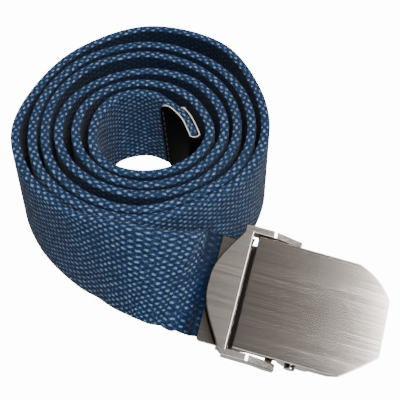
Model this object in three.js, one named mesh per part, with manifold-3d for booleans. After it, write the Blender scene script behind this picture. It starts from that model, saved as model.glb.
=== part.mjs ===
// Rolled canvas work belt: a flat woven strap wound into a standing roll,
// a leather-wrapped inner end, and a clamp-on metal plate buckle on its outer end.
// Millimetres, +Z up, the roll standing on its lower edges on the plane z = 0.
import * as THREE from "three";
import { mergeVertices } from "three/addons/utils/BufferGeometryUtils.js";
import Module from "manifold-3d";

const wasm = await Module();
wasm.setup();

// Strap sizes
const STRAP_WIDTH = 38;
const STRAP_THICKNESS = 3.4;
const STRAP_END_THICKNESS = 2.4;
const EDGE_BEVEL = 0.8;
const STATION_STEP = 5.5;
const END_STEP = 1.75;
const EXIT_STEP = 2.5;
const EXIT_LENGTH = 45;
const CLEARANCE = 0.3;

// Leather wrap on the inner end
const LEATHER_THICKNESS = 0.9;
const LEATHER_LENGTH = 21;
const LEATHER_INSET = 0.2;
const TAPER_LENGTH = 6;
const NOSE_STEPS = 8;
const NOSE_FLATTENING = 0.6;

// The loose inner end of the roll, before its first full turn
const LOOSE_END = [
  { angle: -4, radius: 18.8 },
  { angle: 13, radius: 17.5 },
];

// The innermost turns lean in at their upper edges at the back of the roll
const BACK_LEANS = [6, 4, 2];

// Radius of each turn's upper edge, seen from above, at the hours of a clock face
// whose six o'clock is the side with the buckle
const HOURS = [
  "three", "two", "one", "twelve", "eleven", "ten",
  "nine", "eight", "seven", "six", "five", "four",
];
const HOUR_ANGLE = 30;
const TURNS = [
  {
    two: 17.3, one: 18.1, twelve: 20.7, eleven: 21.2, ten: 19.2,
    nine: 18.4, eight: 19.4, seven: 20.2, six: 20.4, five: 21.2, four: 22.8,
  },
  {
    three: 24.4, two: 24.2, one: 25.4, twelve: 26.4, eleven: 26.8, ten: 25.9,
    nine: 24.6, eight: 24.0, seven: 24.4, six: 25.4, five: 26.3, four: 27.6,
  },
  {
    three: 29.6, two: 31.1, one: 32.8, twelve: 33.0, eleven: 32.2, ten: 32.0,
    nine: 30.9, eight: 29.8, seven: 29.2, six: 29.9, five: 31.2, four: 32.5,
  },
  {
    three: 34.2, two: 36.6, one: 39.9, twelve: 42.9, eleven: 41.7, ten: 38.3,
    nine: 35.8, eight: 35.4, seven: 35.7, six: 36.6, five: 35.6, four: 37.8,
  },
  {
    three: 39.4, two: 42.2, one: 45.8, twelve: 48.8, eleven: 46.8, ten: 42.8,
    nine: 40.4, eight: 40.0, seven: 39.9, six: 40.7, five: 39.4, four: 41.8,
  },
  {
    three: 44.4, two: 48.2, one: 56.4, twelve: 58.6, eleven: 52.6, ten: 47.3,
    nine: 46.5, eight: 44.9,
  },
];

// Where the strap leaves the roll: its lean from upright grows towards the buckle
const EXIT = [
  { x: -22.8, y: -39.7, z: 19.1, lean: 3.5 },
  { x: -14.8, y: -44.7, z: 20.3, lean: 8 },
  { x: -7.4, y: -49.3, z: 21.8, lean: 13.5 },
  { x: -0.2, y: -52.3, z: 22.5, lean: 18 },
  { x: 6.7, y: -53.2, z: 21.1, lean: 18 },
  { x: 13.1, y: -51.8, z: 18.0, lean: 14 },
  { x: 16.6, y: -50.3, z: 15.45, lean: 25.5 },
  { x: 19.2, y: -50.0, z: 14.3, lean: 44 },
];

// Buckle frame: u runs along the strap to the tip, v across it, n out of the face
const BUCKLE_ORIGIN = new THREE.Vector3(34.5, -55.7, 17.97);
const BUCKLE_U = new THREE.Vector3(0.963, -0.199, -0.181);
const BUCKLE_V = new THREE.Vector3(0.248, 0.916, 0.317);

// Buckle levels along n
const LEVER_TOP = 0;
const LEVER_SHEET = 1.2;
const JAW_TOP = -3.8;
const JAW_SHEET = 0.8;
const BASE_SHEET = 0.8;
const STRAP_TOP = JAW_TOP - JAW_SHEET - CLEARANCE;
const DEEP_FLOOR = STRAP_TOP - STRAP_THICKNESS - CLEARANCE;
const SHALLOW_FLOOR = -6.1;

// Strap inside the clamp
const CLAMP_MOUTH = -10.2;
const STRAP_SHIFT = 0.3;
const STRAP_STOP = 0.8;

// Lever: cross plate with a thumb edge, and two side arms
const ARM_INNER = 21.0;
const ARM_WIDTH = 2.6;
const ARM_OUTER = ARM_INNER + ARM_WIDTH;
const ARM_DEPTH = 4.8;
const ARM_BEND = 7.5;
const ARM_END = 17.8;
const ARM_DROP = 4.0;
const ARM_HEEL = -7.4;
const THUMB_REACH = 11.3;
const THUMB_STEPS = 20;
const SHOULDER = 3.2;
const LEVER_PIVOT = { u: 15.5, n: -6.0, radius: 0.7 };

// Face plate
const PLATE_LEFT = 2.0;
const PLATE_CORNER = 38.7;
const PLATE_END = 51.2;
const PLATE_HALF = 20.4;
const PLATE_END_HALF = 10.2;
const PLATE_SHEET = 1.0;
const FLANGE_SHEET = 0.8;
const FLANGE_DEPTH = 4.6;
const FLANGE_END = 35.8;
const UPPER_BULGE = 1.5;
const LOWER_BULGE = 0.3;
const CORNER_STEPS = 6;
const PLATE_PIVOT = { u: 22.8, n: -5.0, radius: 1.2 };

// Base under the plate
const BASE_LEFT = -8.5;
const BASE_HALF = 19.3;
const BASE_END = 30;

const metal = new THREE.MeshStandardMaterial({ color: 0x9a938c, metalness: 0.9, roughness: 0.35 });
const canvas = new THREE.MeshStandardMaterial({ color: 0x24406e, metalness: 0, roughness: 0.9 });
const leather = new THREE.MeshStandardMaterial({ color: 0x14100e, metalness: 0, roughness: 0.6 });

function radians(degrees) {
  return THREE.MathUtils.degToRad(degrees);
}

// Solids and booleans

function toManifold(geometry) {
  const bare = geometry.clone();
  bare.deleteAttribute("normal");
  bare.deleteAttribute("uv");
  const merged = mergeVertices(bare, 1e-4);
  return new wasm.Manifold(new wasm.Mesh({
    numProp: 3,
    vertProperties: new Float32Array(merged.attributes.position.array),
    triVerts: new Uint32Array(merged.index.array),
  }));
}

function toGeometry(solid) {
  const mesh = solid.getMesh();
  const geometry = new THREE.BufferGeometry();
  geometry.setAttribute("position", new THREE.BufferAttribute(new Float32Array(mesh.vertProperties), 3));
  geometry.setIndex(new THREE.BufferAttribute(new Uint32Array(mesh.triVerts), 1));
  geometry.computeVertexNormals();
  return geometry;
}

function joined(parts) {
  return parts.map(toManifold).reduce((whole, part) => whole.add(part));
}

function shapeFrom(points) {
  return new THREE.Shape(points.map(([x, y]) => new THREE.Vector2(x, y)));
}

// A plate with its outline in u and v, between two levels of n
function plateSolid(outline, low, high) {
  const shape = Array.isArray(outline) ? shapeFrom(outline) : outline;
  const geometry = new THREE.ExtrudeGeometry(shape, {
    depth: high - low, bevelEnabled: false, curveSegments: 10,
  });
  return geometry.translate(0, 0, low);
}

// A bar with its profile in u and n, between two places along v
function barSolid(profile, from, to) {
  const geometry = new THREE.ExtrudeGeometry(shapeFrom(profile), {
    depth: to - from, bevelEnabled: false,
  });
  geometry.rotateX(Math.PI / 2);
  return geometry.translate(0, to, 0);
}

// A round pin or hole along v
function pinSolid(place, radius, from, to, sides = 20) {
  const geometry = new THREE.CylinderGeometry(radius, radius, Math.abs(to - from), sides);
  return geometry.translate(place.u, (from + to) / 2, place.n);
}

// Route of the strap

const frameN = new THREE.Vector3().crossVectors(BUCKLE_U, BUCKLE_V).normalize();
const frameU = BUCKLE_U.clone().normalize();
const frameV = new THREE.Vector3().crossVectors(frameN, frameU);

function inBuckle(u, v, n) {
  return BUCKLE_ORIGIN.clone()
    .addScaledVector(frameU, u)
    .addScaledVector(frameV, v)
    .addScaledVector(frameN, n);
}

// A knot of the roll, given the radius of its upper edge
function rollKnot(turn, angle, radius) {
  const around = radians(angle);
  const lean = (BACK_LEANS[turn] ?? 0) * Math.max(0, Math.sin(around));
  const middle = radius + (STRAP_WIDTH / 2) * Math.sin(radians(lean));
  const point = new THREE.Vector3(middle * Math.cos(around), middle * Math.sin(around), STRAP_WIDTH / 2);
  return { point, lean };
}

function strapRoute() {
  const knots = LOOSE_END.map(({ angle, radius }) => rollKnot(0, angle, radius));
  TURNS.forEach((turn, index) => {
    HOURS.forEach((hour, step) => {
      if (turn[hour] === undefined) return;
      const angle = 360 * index + HOUR_ANGLE * step;
      knots.push(rollKnot(index, angle, turn[hour]));
    });
  });
  for (const { x, y, z, lean } of EXIT) {
    knots.push({ point: new THREE.Vector3(x, y, z), lean });
  }
  const middle = STRAP_TOP - STRAP_THICKNESS / 2;
  for (const u of [CLAMP_MOUTH - 2, CLAMP_MOUTH, CLAMP_MOUTH / 2, STRAP_STOP]) {
    knots.push({ point: inBuckle(u, STRAP_SHIFT, middle), across: frameV });
  }
  return knots;
}

// Width direction of the strap where it runs along a direction and leans from upright
function leaningWidth(along, lean) {
  const inward = new THREE.Vector3(-along.y, along.x, 0).normalize();
  const tilt = radians(lean);
  return new THREE.Vector3(0, 0, Math.cos(tilt)).addScaledVector(inward, Math.sin(tilt));
}

// Places from one length towards another, at about the given spacing, without the last
function placesAlong(from, to, spacing) {
  const count = Math.round((to - from) / spacing);
  return Array.from({ length: count }, (_, i) => from + ((to - from) * i) / count);
}

function strapStations() {
  const knots = strapRoute();
  const curve = new THREE.CatmullRomCurve3(knots.map((knot) => knot.point), false, "centripetal");
  curve.arcLengthDivisions = 40 * knots.length;
  const last = knots.length - 1;
  const widths = knots.map((knot, i) => knot.across ?? leaningWidth(curve.getTangent(i / last), knot.lean));
  const length = curve.getLength();
  const mouth = length - (STRAP_STOP - CLAMP_MOUTH);
  const turning = mouth - EXIT_LENGTH;
  const tapered = LEATHER_LENGTH + TAPER_LENGTH;
  const reaches = [
    ...placesAlong(0, LEATHER_LENGTH, END_STEP), ...placesAlong(LEATHER_LENGTH, tapered, END_STEP),
    ...placesAlong(tapered, turning, STATION_STEP), ...placesAlong(turning, mouth, EXIT_STEP),
    mouth, (mouth + length) / 2, length,
  ];
  return reaches.map((reach) => {
    const t = curve.getUtoTmapping(reach / length);
    const place = Math.min(t * last, last - 1e-6);
    const below = Math.floor(place);
    const along = curve.getTangent(t);
    const across = widths[below].clone().lerp(widths[below + 1], place - below);
    across.addScaledVector(along, -across.dot(along)).normalize();
    const outward = new THREE.Vector3().crossVectors(along, across);
    const taper = THREE.MathUtils.smoothstep(reach, LEATHER_LENGTH, LEATHER_LENGTH + TAPER_LENGTH);
    const thickness = THREE.MathUtils.lerp(STRAP_END_THICKNESS, STRAP_THICKNESS, taper);
    return { point: curve.getPoint(t), reach, thickness, across, outward };
  });
}

// Strap section: a flat band with bevelled edges, as fractions of width and thickness
function strapSection(thickness) {
  const half = STRAP_WIDTH / 2;
  const side = thickness / 2;
  const bevel = Math.min(EDGE_BEVEL, side * 0.6);
  return [
    [half - bevel, side], [half, side - bevel], [half, bevel - side], [half - bevel, -side],
    [bevel - half, -side], [-half, bevel - side], [-half, side - bevel], [bevel - half, side],
  ];
}

function webbingStrap(stations) {
  const positions = [];
  const index = [];
  for (const station of stations) {
    for (const [across, out] of strapSection(station.thickness)) {
      const point = station.point.clone()
        .addScaledVector(station.across, across)
        .addScaledVector(station.outward, out);
      positions.push(point.x, point.y, point.z);
    }
  }
  const corners = 8;
  for (let ring = 0; ring < stations.length - 1; ring += 1) {
    for (let corner = 0; corner < corners; corner += 1) {
      const next = (corner + 1) % corners;
      const a = ring * corners + corner;
      const b = ring * corners + next;
      index.push(a, a + corners, b, b, a + corners, b + corners);
    }
  }
  const last = (stations.length - 1) * corners;
  for (let corner = 1; corner < corners - 1; corner += 1) {
    index.push(0, corner, corner + 1);
    index.push(last, last + corner + 1, last + corner);
  }
  const geometry = new THREE.BufferGeometry();
  geometry.setAttribute("position", new THREE.Float32BufferAttribute(positions, 3));
  geometry.setIndex(index);
  geometry.computeVertexNormals();
  return geometry;
}

// Leather wrap: one strip folded round the strap's inner end
function leatherTip(stations) {
  const wrapped = stations.filter((station) => station.reach <= LEATHER_LENGTH);
  const inner = STRAP_END_THICKNESS / 2 + CLEARANCE;
  const outer = inner + LEATHER_THICKNESS;
  const half = STRAP_WIDTH / 2 - LEATHER_INSET;
  const first = wrapped[0];
  const ahead = new THREE.Vector3().crossVectors(first.outward, first.across).normalize();
  const side = (distance) => wrapped.map(({ point, across, outward }) => ({
    at: point.clone().addScaledVector(outward, distance), across,
  }));
  const nose = (distance) => placesAlong(0, Math.PI, Math.PI / NOSE_STEPS).slice(1).map((turn) => ({
    at: first.point.clone()
      .addScaledVector(first.outward, distance * Math.cos(turn))
      .addScaledVector(ahead, (distance - NOSE_FLATTENING) * Math.sin(turn) + CLEARANCE),
    across: first.across,
  }));
  const outline = [
    ...side(outer).reverse(), ...nose(outer), ...side(-outer),
    ...side(-inner).reverse(), ...nose(inner).reverse(), ...side(inner),
  ];
  const positions = [];
  for (const sign of [1, -1]) {
    for (const { at, across } of outline) {
      const point = at.clone().addScaledVector(across, sign * half);
      positions.push(point.x, point.y, point.z);
    }
  }
  const flat = outline.map(({ at }) => new THREE.Vector2(at.x, at.y));
  const count = outline.length;
  const top = THREE.ShapeUtils.triangulateShape(flat, []);
  const facesUp = !THREE.ShapeUtils.isClockWise(flat);
  const index = [];
  for (const [a, b, c] of top) {
    index.push(a, b, c, count + a, count + c, count + b);
  }
  for (let i = 0; i < count; i += 1) {
    const next = (i + 1) % count;
    const wall = [i, count + i, next, next, count + i, count + next];
    index.push(...(facesUp ? wall : wall.reverse()));
  }
  const geometry = new THREE.BufferGeometry();
  geometry.setAttribute("position", new THREE.Float32BufferAttribute(positions, 3));
  geometry.setIndex(index);
  geometry.computeVertexNormals();
  return geometry;
}

// Buckle pieces, in the buckle's own frame

function thumbEdge() {
  const points = [];
  for (let i = 0; i <= THUMB_STEPS; i += 1) {
    const v = ARM_INNER * (1 - 2 * (i / THUMB_STEPS));
    const rise = 1 - THREE.MathUtils.smoothstep(Math.abs(v), 0.1 * ARM_INNER, ARM_INNER);
    const round = Math.pow(rise, 0.62);
    points.push([-SHOULDER - (THUMB_REACH - SHOULDER) * round, v]);
  }
  return points;
}

function clampLever() {
  const outline = [
    [ARM_BEND, ARM_INNER], [ARM_BEND, ARM_OUTER], [-2.8, ARM_OUTER], [-3.4, ARM_OUTER - 0.6],
    ...thumbEdge(),
    [-2.6, 1.0 - ARM_OUTER], [-1.0, -ARM_OUTER], [ARM_BEND, -ARM_OUTER], [ARM_BEND, -ARM_INNER],
    [0, -ARM_INNER], [0, ARM_INNER],
  ];
  const armProfile = [
    [-1.0, LEVER_TOP], [-1.0, -ARM_DEPTH], [10.0, -ARM_DEPTH - 0.6], [14.0, ARM_HEEL],
    [ARM_END, ARM_HEEL], [ARM_END, -ARM_DROP], [ARM_BEND, LEVER_TOP],
  ];
  const parts = [plateSolid(outline, LEVER_TOP - LEVER_SHEET, LEVER_TOP)];
  parts.push(barSolid(armProfile, ARM_INNER, ARM_OUTER));
  parts.push(barSolid(armProfile, -ARM_OUTER, -ARM_INNER));
  let solid = joined(parts);
  for (const side of [1, -1]) {
    const from = side * (ARM_INNER - 1);
    const to = side * (ARM_OUTER - 0.5);
    const hole = pinSolid(LEVER_PIVOT, LEVER_PIVOT.radius + CLEARANCE, Math.min(from, to), Math.max(from, to));
    solid = solid.subtract(toManifold(hole));
  }
  return toGeometry(solid);
}

function clampJaw() {
  const top = 18.2;
  const bottom = -20.4;
  const outline = [
    [CLAMP_MOUTH + 0.8, bottom], [0.8, bottom], [0.8, top], [CLAMP_MOUTH, top],
    [CLAMP_MOUTH, bottom + 0.8],
  ];
  return plateSolid(outline, JAW_TOP - JAW_SHEET, JAW_TOP);
}

// The plate's cut corners bow outward a little, the upper one more
function cornerArc(side, bulge) {
  const start = new THREE.Vector2(PLATE_CORNER, side * PLATE_HALF);
  const end = new THREE.Vector2(PLATE_END, side * PLATE_END_HALF);
  const outward = new THREE.Vector2(PLATE_HALF - PLATE_END_HALF, side * (PLATE_END - PLATE_CORNER)).normalize();
  const points = [];
  for (let i = 0; i <= CORNER_STEPS; i += 1) {
    const t = i / CORNER_STEPS;
    const point = start.clone().lerp(end, t).addScaledVector(outward, 4 * bulge * t * (1 - t));
    points.push([point.x, point.y]);
  }
  return points;
}

function facePlate() {
  const deep = ARM_HEEL;
  const inner = PLATE_HALF - FLANGE_SHEET;
  const beyond = PLATE_END + 5;
  const outline = [
    [PLATE_LEFT, -PLATE_HALF], ...cornerArc(-1, LOWER_BULGE),
    ...cornerArc(1, UPPER_BULGE).reverse(), [PLATE_LEFT, PLATE_HALF],
  ];
  const shell = toManifold(plateSolid(outline, deep, 0));
  const cavity = plateSolid([
    [PLATE_LEFT - 3, -inner], [beyond, -inner], [beyond, inner], [PLATE_LEFT - 3, inner],
  ], deep - 1, -PLATE_SHEET);
  // Each flange has two lobes: the first holds the rivet
  const belowFlange = barSolid([
    [PLATE_LEFT - 3, -2.5], [17.4, -2.5], [18.4, -FLANGE_DEPTH], [20.2, -7.0], [24.8, -7.0],
    [25.4, -6.2], [26.0, -6.8], [28.0, -6.8], [29.0, -6.0], [29.4, -FLANGE_DEPTH],
    [FLANGE_END, -FLANGE_DEPTH], [PLATE_CORNER, -PLATE_SHEET],
    [beyond, -PLATE_SHEET], [beyond, deep - 1], [PLATE_LEFT - 3, deep - 1],
  ].reverse(), -PLATE_HALF - 2, PLATE_HALF + 2);
  const bore = pinSolid(PLATE_PIVOT, PLATE_PIVOT.radius + CLEARANCE, -PLATE_HALF - 2, PLATE_HALF + 2);
  return toGeometry(shell.subtract(toManifold(cavity)).subtract(toManifold(belowFlange))
    .subtract(toManifold(bore)));
}

function clampBase() {
  const floor = barSolid([
    [BASE_LEFT, DEEP_FLOOR], [BASE_LEFT, DEEP_FLOOR - BASE_SHEET], [2.8, DEEP_FLOOR - BASE_SHEET],
    [8.7, SHALLOW_FLOOR - BASE_SHEET], [BASE_END, SHALLOW_FLOOR - BASE_SHEET],
    [BASE_END, SHALLOW_FLOOR], [9.0, SHALLOW_FLOOR], [3.0, DEEP_FLOOR],
  ], -BASE_HALF, BASE_HALF);
  const parts = [floor];
  for (const side of [1, -1]) {
    const span = (from, to) => [Math.min(side * from, side * to), Math.max(side * from, side * to)];
    const wall = [
      [-3, DEEP_FLOOR - BASE_SHEET], [1.2, DEEP_FLOOR - BASE_SHEET],
      [1.2, STRAP_TOP], [-3, STRAP_TOP],
    ];
    parts.push(barSolid(wall, ...span(19.7, 20.6)));
    const sill = [
      [-3, DEEP_FLOOR - BASE_SHEET], [1.2, DEEP_FLOOR - BASE_SHEET], [1.2, DEEP_FLOOR], [-3, DEEP_FLOOR],
    ];
    parts.push(barSolid(sill, ...span(BASE_HALF - 1, 20.0)));
    const wing = [
      [14.2, SHALLOW_FLOOR - BASE_SHEET], [16.8, SHALLOW_FLOOR - BASE_SHEET],
      [16.8, SHALLOW_FLOOR], [14.2, SHALLOW_FLOOR],
    ];
    parts.push(barSolid(wing, ...span(BASE_HALF - 1, 20.6)));
    const ear = [
      [14.2, SHALLOW_FLOOR - BASE_SHEET], [16.8, SHALLOW_FLOOR - BASE_SHEET], [16.8, -5.0], [14.2, -5.0],
    ];
    parts.push(barSolid(ear, ...span(19.7, 20.6)));
    parts.push(pinSolid(LEVER_PIVOT, LEVER_PIVOT.radius, ...span(20.2, ARM_OUTER - 0.8)));
    const lug = [
      [20.0, SHALLOW_FLOOR - BASE_SHEET], [25.6, SHALLOW_FLOOR - BASE_SHEET],
      [25.6, -4.0], [24.4, -2.4], [21.2, -2.4], [20.0, -4.0],
    ];
    parts.push(barSolid(lug, ...span(BASE_HALF - 1, BASE_HALF)));
  }
  const bore = pinSolid(PLATE_PIVOT, PLATE_PIVOT.radius + CLEARANCE, -BASE_HALF - 1, BASE_HALF + 1);
  return toGeometry(joined(parts).subtract(toManifold(bore)));
}

function hingeRivet(side) {
  const head = PLATE_HALF + CLEARANCE;
  const span = (from, to) => [Math.min(side * from, side * to), Math.max(side * from, side * to)];
  const shank = pinSolid(PLATE_PIVOT, PLATE_PIVOT.radius, ...span(BASE_HALF - 1.4, head + 0.3));
  const cap = pinSolid(PLATE_PIVOT, 2.0, ...span(head, head + 0.7), 24);
  return toGeometry(joined([shank, cap]));
}

// Assembly

function mesh(name, geometry, material) {
  const piece = new THREE.Mesh(geometry, material);
  piece.name = name;
  return piece;
}

const stations = strapStations();

const buckle = new THREE.Group();
buckle.matrixAutoUpdate = false;
buckle.matrix.makeBasis(frameU, frameV, frameN).setPosition(BUCKLE_ORIGIN);
buckle.add(mesh("clamp_base", clampBase(), metal));
buckle.add(mesh("clamp_jaw", clampJaw(), metal));
buckle.add(mesh("clamp_lever", clampLever(), metal));
buckle.add(mesh("face_plate", facePlate(), metal));
buckle.add(mesh("hinge_rivet_front", hingeRivet(-1), metal));
buckle.add(mesh("hinge_rivet_back", hingeRivet(1), metal));

const belt = new THREE.Group();
belt.add(mesh("webbing_strap", webbingStrap(stations), canvas));
belt.add(mesh("leather_tip", leatherTip(stations), leather));
belt.add(buckle);

// Stand the belt with its origin under the middle of its bounding box
belt.updateMatrixWorld(true);
const bounds = new THREE.Box3().setFromObject(belt, true);
const middle = bounds.getCenter(new THREE.Vector3());
belt.position.set(-middle.x, -middle.y, -bounds.min.z);

export default belt;
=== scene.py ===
import math

import bmesh
import bpy
import numpy as np
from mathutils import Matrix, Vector


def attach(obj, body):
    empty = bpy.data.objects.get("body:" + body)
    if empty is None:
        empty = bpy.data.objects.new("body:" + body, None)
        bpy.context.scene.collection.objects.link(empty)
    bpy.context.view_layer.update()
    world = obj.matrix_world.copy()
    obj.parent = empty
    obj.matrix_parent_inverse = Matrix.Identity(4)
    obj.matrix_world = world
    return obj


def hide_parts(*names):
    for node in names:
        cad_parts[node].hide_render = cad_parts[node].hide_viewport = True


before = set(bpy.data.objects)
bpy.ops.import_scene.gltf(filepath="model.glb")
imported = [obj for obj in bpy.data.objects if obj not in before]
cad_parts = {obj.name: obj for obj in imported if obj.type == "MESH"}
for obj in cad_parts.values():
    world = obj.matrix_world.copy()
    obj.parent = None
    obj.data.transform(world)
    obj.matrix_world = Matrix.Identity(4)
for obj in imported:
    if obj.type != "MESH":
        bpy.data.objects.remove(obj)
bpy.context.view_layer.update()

# Sizes in millimetres, as the CAD model has them
MM = 0.001
STRAP_WIDTH = 38.0
STRAP_THICKNESS = 3.4
STRAP_END_THICKNESS = 2.4
LEATHER_LENGTH = 21.0
TAPER_LENGTH = 6.0
LEATHER_THICKNESS = 0.9
LEATHER_INSET = 0.2
CLEARANCE = 0.3

# From the middle of the roll to the model's origin
BELT_SHIFT = np.array([-19.0974, 10.8657, 0.1228])

LOOSE_END = [(-4, 18.8), (13, 17.5)]
BACK_LEANS = [6, 4, 2]
HOUR_ANGLE = 30

# Radius of each turn at the hours three, two, one, twelve and so on round to four
TURNS = [
    [None, 17.3, 18.1, 20.7, 21.2, 19.2, 18.4, 19.4, 20.2, 20.4, 21.2, 22.8],
    [24.4, 24.2, 25.4, 26.4, 26.8, 25.9, 24.6, 24.0, 24.4, 25.4, 26.3, 27.6],
    [29.6, 31.1, 32.8, 33.0, 32.2, 32.0, 30.9, 29.8, 29.2, 29.9, 31.2, 32.5],
    [34.2, 36.6, 39.9, 42.9, 41.7, 38.3, 35.8, 35.4, 35.7, 36.6, 35.6, 37.8],
    [39.4, 42.2, 45.8, 48.8, 46.8, 42.8, 40.4, 40.0, 39.9, 40.7, 39.4, 41.8],
    [44.4, 48.2, 56.4, 58.6, 52.6, 47.3, 46.5, 44.9, None, None, None, None],
]

# Where the strap leaves the roll: x, y, z and lean from upright
EXIT = [
    (-22.8, -39.7, 19.1, 3.5), (-14.8, -44.7, 20.3, 8), (-7.4, -49.3, 21.8, 13.5), (-0.2, -52.3, 22.5, 18),
    (6.7, -53.2, 21.1, 18), (13.1, -51.8, 18.0, 14), (16.6, -50.3, 15.45, 25.5),
    (19.2, -50.0, 14.3, 44),
]

BUCKLE_ORIGIN = np.array([34.5, -55.7, 17.97])
CLAMP_MOUTH = -10.2
CLAMP_APPROACH = 2.0
STRAP_STOP = 0.8
STRAP_SHIFT = 0.3
STRAP_TOP = -4.9

# Section of the strap: its edges are rounded from EDGE_START, a share of the half width, outwards
EDGE_START = 0.945
EDGE_TIP = 0.985
EDGE_STEPS = 9
FACE_STEPS = 6
EDGE_FULLNESS_ACROSS = 0.6
EDGE_FULLNESS_OUT = 0.7

# Half the depth of the weft's notches in the edge, and how far the faces lie inside the CAD strap's
EDGE_NOTCH = 0.11
FACE_INSET = 0.04

# Steps in each span of the strap's curve, and the distance between the strap's rings
SPAN_STEPS = 60
STRAP_SPACING = 0.5

# Leather wrap: the length on each face, its rounded corners and its pale rim
OUTER_LEG = 17.5
INNER_LEG = 23.5
LEG_CORNER = 5.0
LEG_STATIONS = 28
RIM = 0.45
NOSE_FLATTENING = 0.6
NOSE_STEPS = 14
LEATHER_SPACING = 0.1
LEATHER_LEVELS = [1.0, 0.98, 0.9, 0.8, 0.5, 0.0, -0.5, -0.8, -0.9, -0.98, -1.0]

# Stitches: place along the stitch, radius and height over the leather of each ring of the thread
STITCH_RINGS = [(-1.05, 0.12, -0.1), (-0.6, 0.24, 0.1), (0.6, 0.24, 0.1), (1.05, 0.12, -0.1)]
STITCH_INSET = 1.6
STITCH_ROW_HALF = 13.5
STITCH_PITCH = 3.0
THREAD_SIDES = 8

# Metal: points this near, in metres, are joined, and faces this level with each other are one face
SAME_POINT = 2e-6
SAME_FACE = math.radians(1.0)

# Degrees above which an edge counts as a bend, and above which it counts as sharp
GENTLE_BEND = 15
SHARP_EDGE = 28

# Weave pitches
WARP_PITCH = 1.16
WEFT_PITCH = 3.8

# Colour of the cotton from the gaps between the yarns to the top of a float
WEAVE_COLOURS = [
    (0.02, (0.002, 0.007, 0.021)), (0.3, (0.0125, 0.035, 0.09)),
    (0.56, (0.043, 0.1, 0.215)), (0.98, (0.225, 0.325, 0.51)),
]

# Unevenness of the weave: noise scale, and how far it shifts a yarn sideways or a float along its yarn
SWAY_SCALE, SWAY = 330.0, 0.5
WANDER_SCALE, WANDER = 260.0, 0.4

# Fuzz of the cotton: noise scale, how much it varies the floats, and how much of it shows between them
FUZZ_SCALE, FUZZ_ON_FLOATS, FUZZ_BETWEEN = 1500.0, 0.9, 0.5

# Floats: how short and sharp they are, the height of a yarn's sides, the least paleness and its spread
FLOAT_SHARPNESS = 3.4
YARN_SIDES = 0.15
LEAST_PALENESS, PALENESS_SPREAD = 0.5, 0.7

# The gaps: how many turns have another one outside them, and how dark the painted shade makes the cotton
# there
COVERED_TURNS = len(TURNS) - 1.5
GAP_SHADE = 0.15

# How dark the painted shade makes the cotton at the clamp's mouth, and the length over which it gets so
CLAMP_SHADE = 0.3
CLAMP_SHADE_LENGTH = 9.0

# Colours of the black leather, its raw edges and the thread, from the darkest grain to the lightest
BLACKS = [(0.3, (0.001, 0.001, 0.001)), (0.75, (0.005, 0.004, 0.004))]
RAW_EDGES = [(0.25, (0.85, 0.62, 0.55)), (0.75, (1.0, 0.9, 0.86))]
THREADS = [(0.3, (0.02, 0.02, 0.025)), (0.8, (0.09, 0.09, 0.1))]

# Finishes of the metal: darkest and lightest line, roughness and depth of the lines in metres
FINISHES = {
    "brushed_metal": ((0.24, 0.213, 0.189), (0.31, 0.276, 0.248), 0.135, 0.000009),
    "light_metal": ((0.255, 0.227, 0.202), (0.325, 0.291, 0.261), 0.19, 0.000009),
    # The same metal made nearly black: painted shade for the slot the base plate sits in
    "painted_shade_metal": ((0.05, 0.045, 0.04), (0.08, 0.07, 0.065), 0.3, 0.00001),
    # A pale finish for the rounded edges: a painted highlight
    "painted_highlight_edge": ((0.7, 0.67, 0.64), (0.9, 0.87, 0.84), 0.3, 0.000005),
}
BRUSH_SCALES = (15.0, 2300.0, 2300.0)
ROUGHNESS_SPREAD = 0.08

# Metal pieces: name, node, body, rounding of edges and of bends, finish
METAL_PIECES = [
    # The base plate inside the clamp is made dark with painted shade
    ("base_plate", "clamp_base", "belt", 0.15, 0.0, "painted_shade_metal"),
    ("jaw_plate", "clamp_jaw", "belt", 0.2, 0.0, "brushed_metal"),
    ("lever_plate", "clamp_lever", "lever", 0.35, 0.8, "light_metal"),
    ("front_plate", "face_plate", "plate", 0.3, 0.0, "brushed_metal"),
    ("rivet_front", "hinge_rivet_front", "belt", 0.15, 0.0, "brushed_metal"),
    ("rivet_back", "hinge_rivet_back", "belt", 0.15, 0.0, "brushed_metal"),
]

# Camera, in metres
CAMERA_AT = (0.0016, -0.22993, 0.28146)
CAMERA_AIM = (0.0016, -0.005866, 0.01912)
CAMERA_LENS = 84.6
SENSOR = 36.0

# Floor sheets, in metres: name, level, strength and the rays that see it
FLOOR_HALF = 3
FLOORS = [
    ("floor", -0.0005, 14.0, "camera"),
    ("floor_mirrored", -0.001, 0.8, "glossy"),
]

# Lights, in metres: name, place, aim, width, depth, power, and if diffuse and glossy rays see it.
# The fill is for the cotton alone, and the glow on the plate's tip for the metal alone
LIGHTS = [
    ("key", (0.1, -0.5, 0.62), (0, 0, 0), 0.3, 0.3, 3.3, True, True),
    ("top_fill", (0.12, -0.3, 0.8), (0, 0, 0), 0.4, 0.4, 4.0, True, False),
    ("tip_glow", (0.465, -0.1, 0.6), (0.05, -0.1, 0.01), 1.0, 0.26, 44.0, False, True),
]

# Light from all round, from below the horizon to above it
WORLD_STOPS = [(0.3, (0.3, 0.3, 0.3)), (0.55, (0.22, 0.22, 0.22))]
HORIZON_SHARPNESS = 2.0


def unit(vector):
    return vector / np.linalg.norm(vector)


frame_u = unit(np.array([0.963, -0.199, -0.181]))
frame_n = unit(np.cross(frame_u, np.array([0.248, 0.916, 0.317])))
frame_v = np.cross(frame_n, frame_u)


# Route of the strap

def roll_knot(turn, angle, radius):
    around = math.radians(angle)
    lean = (BACK_LEANS[turn] if turn < len(BACK_LEANS) else 0) * max(0.0, math.sin(around))
    middle = radius + STRAP_WIDTH / 2 * math.sin(math.radians(lean))
    point = np.array([middle * math.cos(around), middle * math.sin(around), STRAP_WIDTH / 2])
    return point, lean, None


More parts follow.
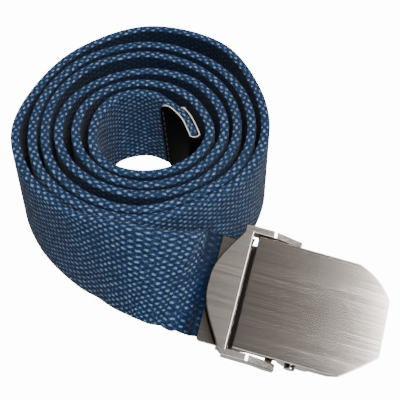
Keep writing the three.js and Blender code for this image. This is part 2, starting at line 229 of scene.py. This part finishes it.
def strap_knots():
    knots = [roll_knot(0, angle, radius) for angle, radius in LOOSE_END]
    for turn, radii in enumerate(TURNS):
        for step, radius in enumerate(radii):
            if radius is not None:
                knots.append(roll_knot(turn, 360 * turn + HOUR_ANGLE * step, radius))
    for x, y, z, lean in EXIT:
        knots.append((np.array([x, y, z]), lean, None))
    level = STRAP_TOP - STRAP_THICKNESS / 2
    for u in (CLAMP_MOUTH - CLAMP_APPROACH, CLAMP_MOUTH, CLAMP_MOUTH / 2, STRAP_STOP):
        point = BUCKLE_ORIGIN + u * frame_u + STRAP_SHIFT * frame_v + level * frame_n
        knots.append((point, None, frame_v))
    return knots


# Centripetal Catmull-Rom curve through points, sampled evenly in each span
def curve_samples(points, per_span):
    ends = [2 * points[0] - points[1]] + points + [2 * points[-1] - points[-2]]
    places, tangents = [], []
    for i in range(len(points) - 1):
        p0, p1, p2, p3 = ends[i:i + 4]
        d0, d1, d2 = (math.sqrt(np.linalg.norm(b - a)) for a, b in ((p0, p1), (p1, p2), (p2, p3)))
        m1 = ((p1 - p0) / d0 - (p2 - p0) / (d0 + d1) + (p2 - p1) / d1) * d1
        m2 = ((p2 - p1) / d1 - (p3 - p1) / (d1 + d2) + (p3 - p2) / d2) * d1
        c2 = -3 * p1 + 3 * p2 - 2 * m1 - m2
        c3 = 2 * p1 - 2 * p2 + m1 + m2
        last = i == len(points) - 2
        for t in np.linspace(0, 1, per_span + (1 if last else 0), endpoint=last):
            places.append(p1 + m1 * t + c2 * t * t + c3 * t ** 3)
            tangents.append(unit(m1 + 2 * c2 * t + 3 * c3 * t * t))
    return np.array(places), np.array(tangents)


def leaning_width(along, lean):
    inward = unit(np.array([-along[1], along[0], 0.0]))
    tilt = math.radians(lean)
    return np.array([0, 0, math.cos(tilt)]) + inward * math.sin(tilt)


# Reach, points, width and outward directions and thickness along the strap, at the given spacing
def strap_stations(spacing, longest=None):
    knots = strap_knots()
    places, tangents = curve_samples([k[0] for k in knots], SPAN_STEPS)
    widths = []
    for i, (_, lean, across) in enumerate(knots):
        along = tangents[min(i * SPAN_STEPS, len(tangents) - 1)]
        widths.append(across if across is not None else leaning_width(along, lean))
    widths = np.array(widths)
    reach = np.concatenate([[0], np.cumsum(np.linalg.norm(np.diff(places, axis=0), axis=1))])
    span = np.arange(len(places)) / SPAN_STEPS
    end = reach[-1] if longest is None else longest
    wanted = np.linspace(0, end, int(round(end / spacing)) + 1)

    def at_wanted(table):
        return np.stack([np.interp(wanted, reach, table[:, k]) for k in range(3)], 1)

    point, along = at_wanted(places), at_wanted(tangents)
    along /= np.linalg.norm(along, axis=1)[:, None]
    place = np.interp(wanted, reach, span)
    low = np.minimum(place.astype(int), len(widths) - 2)
    part = (place - low)[:, None]
    across = widths[low] * (1 - part) + widths[low + 1] * part
    across -= along * (across * along).sum(1)[:, None]
    across /= np.linalg.norm(across, axis=1)[:, None]
    outward = np.cross(along, across)
    taper = np.clip((wanted - LEATHER_LENGTH) / TAPER_LENGTH, 0, 1)
    taper = taper * taper * (3 - 2 * taper)
    thickness = STRAP_END_THICKNESS + (STRAP_THICKNESS - STRAP_END_THICKNESS) * taper
    return wanted, point + BELT_SHIFT, across, outward, thickness


# Meshes

def new_object(name, vertices, faces, uvs=None, smooth=True):
    mesh = bpy.data.meshes.new(name)
    mesh.from_pydata(np.asarray(vertices).tolist(), [], faces)
    if uvs is not None:
        layer = mesh.uv_layers.new(name="Weave")
        layer.data.foreach_set("uv", np.asarray(uvs, np.float32).ravel())
    mesh.polygons.foreach_set("use_smooth", [smooth] * len(mesh.polygons))
    mesh.update()
    piece = bpy.data.objects.new(name, mesh)
    bpy.context.scene.collection.objects.link(piece)
    return piece


# Rounded section of the strap: across and outward as shares of the half sizes
def strap_outline():
    points = []
    for sign in (1, -1):
        for k in range(EDGE_STEPS):
            turn = math.pi * (k / (EDGE_STEPS - 1)) - math.pi / 2
            round_across = math.copysign(abs(math.cos(turn)) ** EDGE_FULLNESS_ACROSS, math.cos(turn))
            round_out = math.copysign(abs(math.sin(turn)) ** EDGE_FULLNESS_OUT, math.sin(turn))
            points.append((sign * (1 - (1 - EDGE_START) * (1 - round_across)), -sign * round_out))
        for k in range(1, FACE_STEPS):
            points.append((sign * EDGE_START * (1 - 2 * k / FACE_STEPS), -sign * 1.0))
    return np.array(points)


# How light the cotton is: painted shade, darker down in the gaps between turns and where it runs into the
# clamp
def webbing_shade(reach, point, outline):
    centred = point - BELT_SHIFT
    angle = np.unwrap(np.arctan2(centred[:, 1], centred[:, 0]))
    covered_outside = angle < angle[0] + 2 * math.pi * COVERED_TURNS
    covered_inside = angle > angle[0] + 2 * math.pi
    near_edge = np.interp(np.abs(outline[:, 0]), [EDGE_START, EDGE_TIP], [GAP_SHADE, 1.0])
    outer_side = outline[:, 1] > 0
    hidden = np.where(outer_side[None, :], covered_outside[:, None], covered_inside[:, None])
    shade = np.where(hidden, near_edge[None, :], 1.0)
    # Painted shade where the strap runs into the clamp
    clamp = ((reach[-1] + CLAMP_MOUTH - reach) / CLAMP_SHADE_LENGTH).clip(CLAMP_SHADE, 1.0)
    return shade * clamp[:, None]


def build_webbing():
    reach, point, across, outward, thickness = strap_stations(STRAP_SPACING)
    outline = strap_outline()
    count = len(outline)
    half = STRAP_WIDTH / 2
    flat = outline * [half, STRAP_THICKNESS / 2]
    steps = np.diff(np.vstack([flat, flat[:1]]), axis=0)
    around = np.concatenate([[0], np.cumsum(np.linalg.norm(steps, axis=1))])
    edge = np.abs(outline[:, 0]) > EDGE_TIP
    wave = np.cos(2 * math.pi * reach / WEFT_PITCH)[:, None]
    trim = np.where(edge, EDGE_NOTCH * (wave - 1) * np.sign(outline[:, 0]), 0.0)
    shares = outline[:, 0] * half + trim
    lift = outline[:, 1][None, :] * (thickness[:, None] / 2 - FACE_INSET)
    vertices = point[:, None, :] + shares[:, :, None] * across[:, None, :]
    vertices = vertices + lift[:, :, None] * outward[:, None, :]
    rings = len(reach)
    faces, uvs = [], []
    for i in range(rings - 1):
        for j in range(count):
            following = (j + 1) % count
            faces.append((i * count + j, i * count + following,
                          (i + 1) * count + following, (i + 1) * count + j))
            a, b = around[j], around[j + 1]
            uvs += [(reach[i], a), (reach[i], b), (reach[i + 1], b), (reach[i + 1], a)]
    faces.append(tuple(range(count))[::-1])
    uvs += [(0.0, around[j]) for j in range(count)][::-1]
    faces.append(tuple((rings - 1) * count + j for j in range(count)))
    uvs += [(reach[-1], around[j]) for j in range(count)]
    piece = new_object("webbing", vertices.reshape(-1, 3) * MM, faces, uvs)
    # The cotton's painted shade, kept on each point for the material
    layer = piece.data.attributes.new("shade", "FLOAT", "POINT")
    layer.data.foreach_set("value", webbing_shade(reach, point, outline).astype(np.float32).ravel())
    return piece


# Two shells of leather round the strap's end, joined by a rim
def build_leather():
    reach, point, across, outward, _ = strap_stations(LEATHER_SPACING, INNER_LEG)
    inner = STRAP_END_THICKNESS / 2 + CLEARANCE
    outer = inner + LEATHER_THICKNESS
    ahead = unit(np.cross(outward[0], across[0]))
    turns = np.linspace(0, math.pi, NOSE_STEPS)[1:-1]
    half = STRAP_WIDTH / 2 - LEATHER_INSET

    def side(distance, leg, level):
        short = max(0.0, LEG_CORNER - half * (1 - abs(level)))
        length = leg - LEG_CORNER + math.sqrt(LEG_CORNER ** 2 - short ** 2)
        wanted = np.linspace(0, length, LEG_STATIONS)
        stations = np.searchsorted(reach, wanted).clip(max=len(reach) - 1)
        return [point[i] + outward[i] * distance + across[i] * half * level for i in stations]

    def nose(distance, level):
        flattened = distance - NOSE_FLATTENING
        return [point[0] + outward[0] * distance * math.cos(t)
                + ahead * (flattened * math.sin(t) + CLEARANCE) + across[0] * half * level for t in turns]

    vertices, faces, materials = [], [], []
    for distance in (outer, inner):
        for level in LEATHER_LEVELS:
            trimmed = inner + RIM if distance == outer and abs(level) == 1.0 else distance
            vertices += side(trimmed, OUTER_LEG, level)[::-1] + nose(trimmed, level)
            vertices += side(-trimmed, INNER_LEG, level)
    rows = len(LEATHER_LEVELS)
    count = len(vertices) // (2 * rows)
    start = count * rows
    for row in range(rows - 1):
        for i in range(count - 1):
            a = row * count + i
            faces.append((a, a + 1, a + count + 1, a + count))
            b = start + a
            faces.append((b, b + count, b + count + 1, b + 1))
            materials += [0, 0]
    for i in range(count - 1):
        faces.append((i, start + i, start + i + 1, i + 1))
        low = (rows - 1) * count + i
        faces.append((low, low + 1, start + low + 1, start + low))
        materials += [1, 1]
    for row in range(rows - 1):
        a = row * count
        faces.append((a, a + count, start + a + count, start + a))
        b = a + count - 1
        faces.append((b, start + b, start + b + count, b + count))
        materials += [1, 1]
    piece = new_object("leather_wrap", np.array(vertices) * MM, faces, smooth=False)
    piece.data.polygons.foreach_set("material_index", materials)
    shape = bmesh.new()
    shape.from_mesh(piece.data)
    bmesh.ops.recalc_face_normals(shape, faces=shape.faces)
    shape.to_mesh(piece.data)
    shape.free()
    return piece


# Short thread stitches down both faces of the wrap, near its ends
def build_stitches():
    reach, point, across, outward, _ = strap_stations(LEATHER_SPACING, INNER_LEG)
    outer = STRAP_END_THICKNESS / 2 + CLEARANCE + LEATHER_THICKNESS
    turns = np.linspace(0, 2 * math.pi, THREAD_SIDES, endpoint=False)
    vertices, faces = [], []
    for side, leg in ((1, OUTER_LEG), (-1, INNER_LEG)):
        row = int(np.argmin(np.abs(reach - (leg - STITCH_INSET))))
        along = unit(point[row] - point[row - 1])
        for place in np.arange(-STITCH_ROW_HALF, STITCH_ROW_HALF + 0.1, STITCH_PITCH):
            base = len(vertices)
            for end, swell, height in STITCH_RINGS:
                centre = point[row] + across[row] * (place + end) + outward[row] * side * (outer + height)
                for turn in turns:
                    vertices.append(centre + along * swell * math.cos(turn)
                                    + outward[row] * side * swell * math.sin(turn))
            last = base + (len(STITCH_RINGS) - 1) * THREAD_SIDES
            for ring in range(base, last, THREAD_SIDES):
                for k in range(THREAD_SIDES):
                    a, b = ring + k, ring + (k + 1) % THREAD_SIDES
                    faces.append((a, b, b + THREAD_SIDES, a + THREAD_SIDES))
            faces.append(tuple(base + k for k in range(THREAD_SIDES))[::-1])
            faces.append(tuple(last + k for k in range(THREAD_SIDES)))
    return new_object("wrap_stitches", np.array(vertices) * MM, faces)


# A metal piece with its edges rounded, from the CAD node's own shape
def build_metal(name, node, rounding, bend):
    piece = bpy.data.objects.new(name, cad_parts[node].data.copy())
    bpy.context.scene.collection.objects.link(piece)
    piece.data.materials.clear()
    piece.data.polygons.foreach_set("use_smooth", [True] * len(piece.data.polygons))
    shape = bmesh.new()
    shape.from_mesh(piece.data)
    bmesh.ops.remove_doubles(shape, verts=shape.verts, dist=SAME_POINT)
    bmesh.ops.dissolve_limit(shape, angle_limit=SAME_FACE, verts=shape.verts, edges=shape.edges)
    # The weight of an edge is its rounding in millimetres
    weights = shape.edges.layers.float.new("bevel_weight_edge")
    for edge in shape.edges:
        angle = math.degrees(edge.calc_face_angle(0.0))
        edge[weights] = rounding if angle > SHARP_EDGE else bend if angle > GENTLE_BEND else 0.0
    shape.to_mesh(piece.data)
    shape.free()
    bevel = piece.modifiers.new("Rounding", "BEVEL")
    bevel.width = MM
    bevel.segments = 3
    bevel.limit_method = "WEIGHT"
    bevel.use_clamp_overlap = False
    # The rounded faces take the second material, the painted highlight
    bevel.material = 1
    flatten = piece.modifiers.new("Flat faces", "WEIGHTED_NORMAL")
    flatten.mode = "FACE_AREA"
    flatten.weight = 100
    bpy.context.view_layer.update()
    rounded = bpy.data.meshes.new_from_object(piece.evaluated_get(bpy.context.evaluated_depsgraph_get()))
    piece.modifiers.clear()
    piece.data = rounded
    return piece


# Materials

def new_material(name, roughness, metallic=0.0):
    material = bpy.data.materials.new(name)
    material.use_nodes = True
    shader = material.node_tree.nodes["Principled BSDF"]
    shader.inputs["Roughness"].default_value = roughness
    shader.inputs["Metallic"].default_value = metallic
    return material, material.node_tree, shader


def math_node(tree, operation, a, b=None):
    node = tree.nodes.new("ShaderNodeMath")
    node.operation = operation
    for socket, value in zip(node.inputs, (a, b)):
        if value is None:
            continue
        if isinstance(value, (int, float)):
            socket.default_value = value
        else:
            tree.links.new(value, socket)
    return node.outputs[0]


def scaled(tree, value, factor, shift):
    return math_node(tree, "ADD", math_node(tree, "MULTIPLY", value, factor), shift)


def object_place(tree):
    return tree.nodes.new("ShaderNodeTexCoord").outputs["Object"]


def ramp_node(tree, factor, stops):
    node = tree.nodes.new("ShaderNodeValToRGB")
    tree.links.new(factor, node.inputs["Fac"])
    elements = node.color_ramp.elements
    while len(elements) < len(stops):
        elements.new(0.5)
    for element, (place, colour) in zip(elements, stops):
        element.position = place
        element.color = (*colour, 1.0)
    return node.outputs["Color"]


def noise_node(tree, vector, scale, detail):
    node = tree.nodes.new("ShaderNodeTexNoise")
    node.inputs["Scale"].default_value = scale
    node.inputs["Detail"].default_value = detail
    tree.links.new(vector, node.inputs["Vector"])
    return node.outputs["Fac"]


def bump_node(tree, height, distance, strength, shader):
    node = tree.nodes.new("ShaderNodeBump")
    node.inputs["Distance"].default_value = distance
    node.inputs["Strength"].default_value = strength
    tree.links.new(height, node.inputs["Height"])
    tree.links.new(node.outputs["Normal"], shader.inputs["Normal"])


# A brightness of its own for each float, from the number of its yarn and of its place on the yarn
def float_paleness(tree, column, phase):
    cell = tree.nodes.new("ShaderNodeCombineXYZ")
    tree.links.new(math_node(tree, "FLOOR", column), cell.inputs["X"])
    tree.links.new(math_node(tree, "FLOOR", math_node(tree, "ADD", phase, 0.5)), cell.inputs["Y"])
    chance = tree.nodes.new("ShaderNodeTexWhiteNoise")
    chance.noise_dimensions = "2D"
    tree.links.new(cell.outputs[0], chance.inputs["Vector"])
    return scaled(tree, chance.outputs["Value"], PALENESS_SPREAD, LEAST_PALENESS)


# Plain weave: each warp yarn shows as a row of pale floats, neighbours offset by half
def woven_cotton():
    material, tree, shader = new_material("woven_cotton", 0.85)
    shader.inputs["Specular IOR Level"].default_value = 0.05
    shader.inputs["Sheen Weight"].default_value = 0.06
    coords = tree.nodes.new("ShaderNodeUVMap")
    coords.uv_map = "Weave"
    split = tree.nodes.new("ShaderNodeSeparateXYZ")
    tree.links.new(coords.outputs["UV"], split.inputs[0])
    place = object_place(tree)
    sway = math_node(tree, "MULTIPLY", noise_node(tree, place, SWAY_SCALE, 2.0), SWAY)
    wander = math_node(tree, "MULTIPLY", noise_node(tree, place, WANDER_SCALE, 2.0), WANDER)
    column = math_node(tree, "ADD", math_node(tree, "DIVIDE", split.outputs["Y"], WARP_PITCH), sway)
    row = math_node(tree, "ADD", math_node(tree, "DIVIDE", split.outputs["X"], WEFT_PITCH), wander)
    parity = math_node(tree, "MODULO", math_node(tree, "FLOOR", column), 2.0)
    phase = math_node(tree, "ADD", row, math_node(tree, "MULTIPLY", parity, 0.5))
    float_wave = math_node(tree, "COSINE", math_node(tree, "MULTIPLY", phase, 2 * math.pi))
    raised = math_node(tree, "POWER", scaled(tree, float_wave, 0.5, 0.5), FLOAT_SHARPNESS)
    yarn_wave = math_node(tree, "SINE", math_node(tree, "MULTIPLY", column, math.pi))
    bulge = scaled(tree, math_node(tree, "ABSOLUTE", yarn_wave), 1 - YARN_SIDES, YARN_SIDES)
    height = math_node(tree, "MULTIPLY", raised, bulge)
    fuzz = scaled(tree, noise_node(tree, place, FUZZ_SCALE, 4.0), 2.0, -0.5)
    pale = math_node(tree, "MULTIPLY", height, float_paleness(tree, column, phase))
    pale = math_node(tree, "MULTIPLY", pale, scaled(tree, fuzz, FUZZ_ON_FLOATS, 0.5))
    shown = math_node(tree, "ADD", pale, math_node(tree, "MULTIPLY", fuzz, FUZZ_BETWEEN))
    # The painted shade from the gaps and the clamp's mouth darkens the cotton's colour
    shade = tree.nodes.new("ShaderNodeAttribute")
    shade.attribute_name = "shade"
    shown = math_node(tree, "MULTIPLY", shown, shade.outputs["Fac"])
    tree.links.new(ramp_node(tree, shown, WEAVE_COLOURS), shader.inputs["Base Color"])
    bump_node(tree, height, 0.0004, 0.8, shader)
    return material


# A matte material whose colour and relief follow one fine noise
def grainy(name, roughness, specular, scale, detail, colours, depth, strength):
    material, tree, shader = new_material(name, roughness)
    shader.inputs["Specular IOR Level"].default_value = specular
    grain = noise_node(tree, object_place(tree), scale, detail)
    tree.links.new(ramp_node(tree, grain, colours), shader.inputs["Base Color"])
    bump_node(tree, grain, depth, strength, shader)
    return material


# Metal with fine lines brushed along the belt
def brushed_metal(name):
    dark, light, roughness, depth = FINISHES[name]
    material, tree, shader = new_material(name, roughness, 1.0)
    place = object_place(tree)
    stretched = tree.nodes.new("ShaderNodeCombineXYZ")
    for socket, axis, scale in zip(stretched.inputs, (frame_u, frame_v, frame_n), BRUSH_SCALES):
        along = tree.nodes.new("ShaderNodeVectorMath")
        along.operation = "DOT_PRODUCT"
        along.inputs[1].default_value = tuple(axis * scale)
        tree.links.new(place, along.inputs[0])
        tree.links.new(along.outputs["Value"], socket)
    lines = noise_node(tree, stretched.outputs[0], 1.0, 5.0)
    tree.links.new(ramp_node(tree, lines, [(0.25, dark), (0.75, light)]), shader.inputs["Base Color"])
    rough = scaled(tree, lines, ROUGHNESS_SPREAD, roughness - ROUGHNESS_SPREAD / 2)
    tree.links.new(rough, shader.inputs["Roughness"])
    bump_node(tree, lines, depth, 0.5, shader)
    return material


# Pieces

webbing = build_webbing()
webbing.data.materials.append(woven_cotton())
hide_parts("webbing_strap")
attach(webbing, "belt")

leather_wrap = build_leather()
leather_wrap.data.materials.append(grainy("black_leather", 0.7, 0.03, 1400.0, 5.0, BLACKS, 0.0001, 0.5))
leather_wrap.data.materials.append(grainy("raw_leather_edge", 0.8, 0.5, 1800.0, 4.0, RAW_EDGES, 0.0001, 0.5))
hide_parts("leather_tip")
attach(leather_wrap, "belt")

stitches = build_stitches()
stitches.data.materials.append(grainy("dark_thread", 0.7, 0.5, 3000.0, 2.0, THREADS, 0.00006, 0.6))
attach(stitches, "belt")

finishes = {name: brushed_metal(name) for name in FINISHES}
for name, node, body, rounding, bend, finish in METAL_PIECES:
    piece = build_metal(name, node, rounding, bend)
    piece.data.materials.clear()
    piece.data.materials.append(finishes[finish])
    # The rounded edges get the pale painted highlight
    piece.data.materials.append(finishes["painted_highlight_edge"])
    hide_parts(node)
    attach(piece, body)


# Stage, lights and camera

def aimed(place, aim):
    return (Vector(aim) - Vector(place)).to_track_quat("-Z", "Y").to_euler()


# A glowing sheet under the object, seen by one kind of ray only
def glowing_sheet(name, level, strength, seen_by):
    far = FLOOR_HALF
    sheet = new_object(name, [(-far, -far, level), (far, -far, level), (far, far, level), (-far, far, level)],
                       [(0, 1, 2, 3)], smooth=False)
    material, tree, _ = new_material(name, 1.0)
    glow = tree.nodes.new("ShaderNodeEmission")
    glow.inputs["Strength"].default_value = strength
    tree.links.new(glow.outputs[0], tree.nodes["Material Output"].inputs["Surface"])
    sheet.data.materials.append(material)
    sheet.visible_camera = seen_by == "camera"
    sheet.visible_glossy = seen_by == "glossy"
    sheet.visible_diffuse = False
    sheet.visible_shadow = False


for name, level, strength, seen_by in FLOORS:
    glowing_sheet(name, level, strength, seen_by)

for name, place, aim, width, depth, power, diffuse, glossy in LIGHTS:
    data = bpy.data.lights.new(name, "AREA")
    data.shape = "RECTANGLE"
    data.size = width
    data.size_y = depth
    data.energy = power
    light = bpy.data.objects.new(name, data)
    light.location = place
    light.rotation_euler = aimed(place, aim)
    light.visible_diffuse = diffuse
    light.visible_glossy = glossy
    bpy.context.scene.collection.objects.link(light)

world = bpy.data.worlds.new("studio")
bpy.context.scene.world = world
world.use_nodes = True
world_tree = world.node_tree
direction = world_tree.nodes.new("ShaderNodeTexCoord").outputs["Generated"]
height = world_tree.nodes.new("ShaderNodeSeparateXYZ")
world_tree.links.new(direction, height.inputs[0])
sky = ramp_node(world_tree, scaled(world_tree, height.outputs["Z"], HORIZON_SHARPNESS, 0.5), WORLD_STOPS)
world_tree.links.new(sky, world_tree.nodes["Background"].inputs["Color"])

camera_data = bpy.data.cameras.new("camera")
camera_data.lens = CAMERA_LENS
camera_data.sensor_width = SENSOR
camera = bpy.data.objects.new("camera", camera_data)
camera.location = CAMERA_AT
camera.rotation_euler = aimed(CAMERA_AT, CAMERA_AIM)
bpy.context.scene.collection.objects.link(camera)
bpy.context.scene.camera = camera
